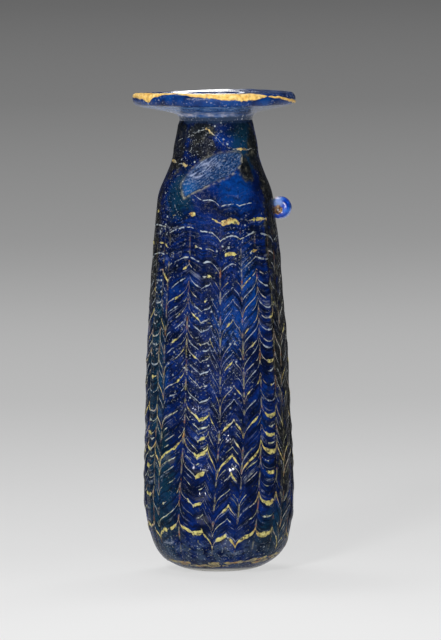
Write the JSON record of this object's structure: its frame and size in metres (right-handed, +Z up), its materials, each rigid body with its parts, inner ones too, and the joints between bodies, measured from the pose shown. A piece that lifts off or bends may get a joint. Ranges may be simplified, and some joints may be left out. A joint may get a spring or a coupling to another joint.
{
  "type": "alabastron",
  "caption": "Slender glass oil flask with a rounded base, broad disc rim, pierced shoulder lug and yellow and pale spiral trails combed into feathers over deep blue.",
  "frame": {"origin": "centre of the foot, on the ground", "axes": "+Z up along the vessel's axis, -Y to the front of the picture, +X to the side of the lug"},
  "size_m": [0.0467, 0.0466, 0.1348],
  "materials": {
    "cobalt_glass": "deep cobalt glass with a pitted weathered skin",
    "rim_glass": "smooth cobalt glass",
    "lug_glass": "clear bright blue glass",
    "rim_yellow": "opaque yellow glass",
    "worn_yellow": "thin worn yellow glass",
    "body_yellow": "opaque yellow glass, pitted",
    "pale_glass": "opaque pale glass, worn thin"
  },
  "bodies": {
    "root": {"body": "cobalt_glass", "rim_disk": "rim_glass", "lug": "lug_glass", "rim_trail": "rim_yellow", "neck_trail": "worn_yellow", "yellow_trail": "body_yellow", "pale_trail": "pale_glass", "base_trail": "body_yellow"}
  },
  "joints": []
}
